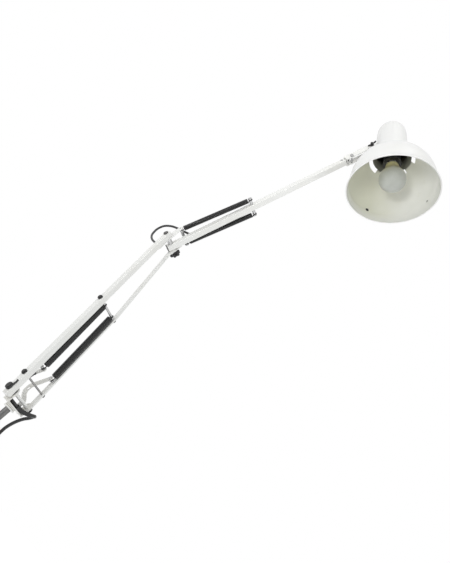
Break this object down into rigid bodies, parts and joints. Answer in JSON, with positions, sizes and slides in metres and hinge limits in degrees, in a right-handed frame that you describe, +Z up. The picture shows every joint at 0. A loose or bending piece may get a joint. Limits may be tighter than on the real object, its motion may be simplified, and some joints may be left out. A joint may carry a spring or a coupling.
{
  "type": "balanced-arm spring lamp",
  "caption": "Swivelling spring-balanced desk lamp with two jointed arms, forked tilting head, domed open shade with neck cup and bulb, and a tied mains cord.",
  "frame": {"origin": "middle of the spigot's shoulder, where it rests on its clamp", "axes": "+Z up the spigot, +X the way the lamp reaches, every arm pivot along Y"},
  "size_m": [0.4856, 0.1979, 1.3477],
  "materials": {
    "white_paint": "satin white enamel on steel",
    "shade_paint": "satin white enamel on spun sheet",
    "dark_steel": "dark oiled steel",
    "zinc_steel": "zinc plated steel",
    "black_plastic": "moulded black plastic",
    "spring_wire": "black lacquered spring wire",
    "cord_sheath": "black sheathed cord",
    "rubber_trim": "soft black",
    "bulb_glass": "pearl glass",
    "bright_metal": "bright nickel"
  },
  "bodies": {
    "base": {"spigot": "dark_steel", "base_flange": "white_paint", "retaining_collar": "black_plastic"},
    "yoke": {"base_yoke": "white_paint", "spring_bracket": "white_paint", "spring_studs": "zinc_steel", "pivot_bolt": "white_paint", "pivot_cap": "black_plastic", "cord_clip": "black_plastic", "base_lead": "cord_sheath", "mains_cord": "cord_sheath", "cord_hank": "cord_sheath", "cord_tie": "black_plastic", "plug_lead": "cord_sheath", "plug_body": "black_plastic", "plug_pins": "bright_metal"},
    "lever": {"lever_knob": "black_plastic"},
    "lower_arm": {"lower_tube": "white_paint", "lower_tube_plug": "white_paint", "lower_bar": "white_paint", "pivot_washers": "black_plastic", "tie_rod": "dark_steel", "spring_bar": "dark_steel", "rod_caps": "black_plastic", "lower_spring_left": "spring_wire", "lower_spring_right": "spring_wire", "lower_grommets": "rubber_trim", "lower_core": "cord_sheath", "elbow_plate_left": "white_paint", "elbow_plate_right": "white_paint", "elbow_rivets": "zinc_steel", "elbow_bolt": "dark_steel", "elbow_spacer": "zinc_steel", "upper_anchor_pin": "dark_steel"},
    "elbow_knob": {"star_knob": "black_plastic"},
    "upper_arm": {"upper_tube": "white_paint", "upper_tube_plug": "black_plastic", "upper_grommet": "rubber_trim", "upper_core": "cord_sheath", "upper_spring_pin": "dark_steel", "upper_spring_left": "spring_wire", "upper_spring_right": "spring_wire", "elbow_lead": "cord_sheath", "swivel_screws": "zinc_steel"},
    "fork": {"head_fork": "white_paint", "swivel_washer": "black_plastic", "fork_pin": "zinc_steel", "tilt_bolt": "zinc_steel", "head_lead": "cord_sheath"},
    "tilt_knob": {"wing_knob": "black_plastic"},
    "lamp_head": {"shade_bracket": "white_paint", "shade": "shade_paint", "shade_rivets": "zinc_steel", "neck_grommet": "rubber_trim", "holder_bridge": "zinc_steel", "lampholder": "black_plastic", "bulb_cap": "bright_metal", "bulb_glass": "bulb_glass", "switch_body": "black_plastic"},
    "button": {"switch_button": "black_plastic"}
  },
  "joints": [
    {"name": "base_swivel", "type": "hinge", "parent": "base", "child": "yoke", "pos_m": [0, 0, 0.006], "axis": [0, 0, 1], "range_deg": [-170, 170]},
    {"name": "lower_arm_pivot", "type": "hinge", "parent": "yoke", "child": "lower_arm", "pos_m": [0.005, 0, 0.023], "axis": [0, 1, 0], "range_deg": [-33, 80], "deforming": ["lower_spring_left", "lower_spring_right", "base_lead"]},
    {"name": "upper_arm_pivot", "type": "hinge", "parent": "lower_arm", "child": "upper_arm", "pos_m": [-0.07314, 0, 0.46616], "axis": [0, 1, 0], "range_deg": [-8, 95], "deforming": ["upper_spring_left", "upper_spring_right", "elbow_lead"]},
    {"name": "head_swivel", "type": "hinge", "parent": "upper_arm", "child": "fork", "pos_m": [0.11704, 0, 0.874], "axis": [0.4226, 0, 0.9063], "range_deg": [-107, 73]},
    {"name": "head_tilt", "type": "hinge", "parent": "fork", "child": "lamp_head", "pos_m": [0.15254, 0, 0.95013], "axis": [-0.265, 0.9563, 0.1236], "range_deg": [-90, 8], "deforming": ["head_lead"]},
    {"name": "lever_turn", "type": "hinge", "parent": "yoke", "child": "lever", "pos_m": [0.005, -0.039, 0.023], "axis": [0, 1, 0], "range_deg": [-90, 90]},
    {"name": "elbow_knob_turn", "type": "hinge", "parent": "lower_arm", "child": "elbow_knob", "pos_m": [-0.07314, 0.019, 0.46616], "axis": [0, 1, 0], "range_deg": [-180, 180]},
    {"name": "tilt_knob_turn", "type": "hinge", "parent": "fork", "child": "tilt_knob", "pos_m": [0.15625, -0.01339, 0.9484], "axis": [-0.265, 0.9563, 0.1236], "range_deg": [-180, 180]},
    {"name": "switch_press", "type": "slide", "parent": "lamp_head", "child": "button", "axis": [0.4303, 0.232, -0.8724], "range_m": [0, 0.0025], "stiffness_N_per_m": 600}
  ]
}
